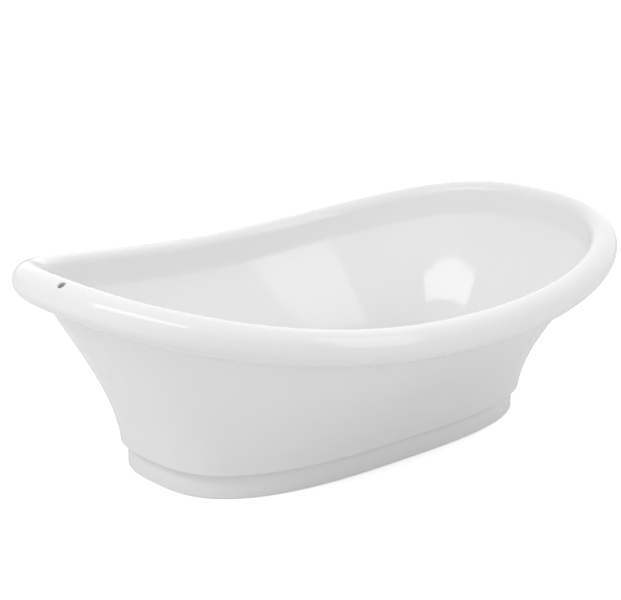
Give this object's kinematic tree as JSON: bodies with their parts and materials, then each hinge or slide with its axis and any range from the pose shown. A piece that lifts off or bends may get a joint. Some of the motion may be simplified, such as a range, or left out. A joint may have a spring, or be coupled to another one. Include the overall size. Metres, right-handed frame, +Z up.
{
  "type": "baby bathtub",
  "caption": "Boat-shaped freestanding baby bath with a rolled rim that rises to both ends, a stepped foot band, a lift-out drain plug and anti-slip pads.",
  "frame": {"origin": "on the ground under the middle of the bath, at the pads' undersides", "axes": "+Z up, +X along the bath towards its drain end, +Y across it to the far side"},
  "size_m": [0.9, 0.579, 0.2895],
  "materials": {
    "moulded_shell": "glossy white moulded polypropylene",
    "plug_plastic": "glossy white moulded plastic",
    "seal_rubber": "soft pale grey thermoplastic rubber",
    "pad_rubber": "soft pale grey thermoplastic rubber"
  },
  "bodies": {
    "tub": {"tub_shell": "moulded_shell", "anti_slip_pad_drain_near": "pad_rubber", "anti_slip_pad_drain_far": "pad_rubber", "anti_slip_pad_hanging_near": "pad_rubber", "anti_slip_pad_hanging_far": "pad_rubber"},
    "plug": {"plug_body": "plug_plastic", "plug_seal": "seal_rubber"}
  },
  "joints": [
    {"name": "plug_lift", "type": "slide", "parent": "tub", "child": "plug", "axis": [0, 0, 1], "range_m": [0, 0.3]}
  ]
}
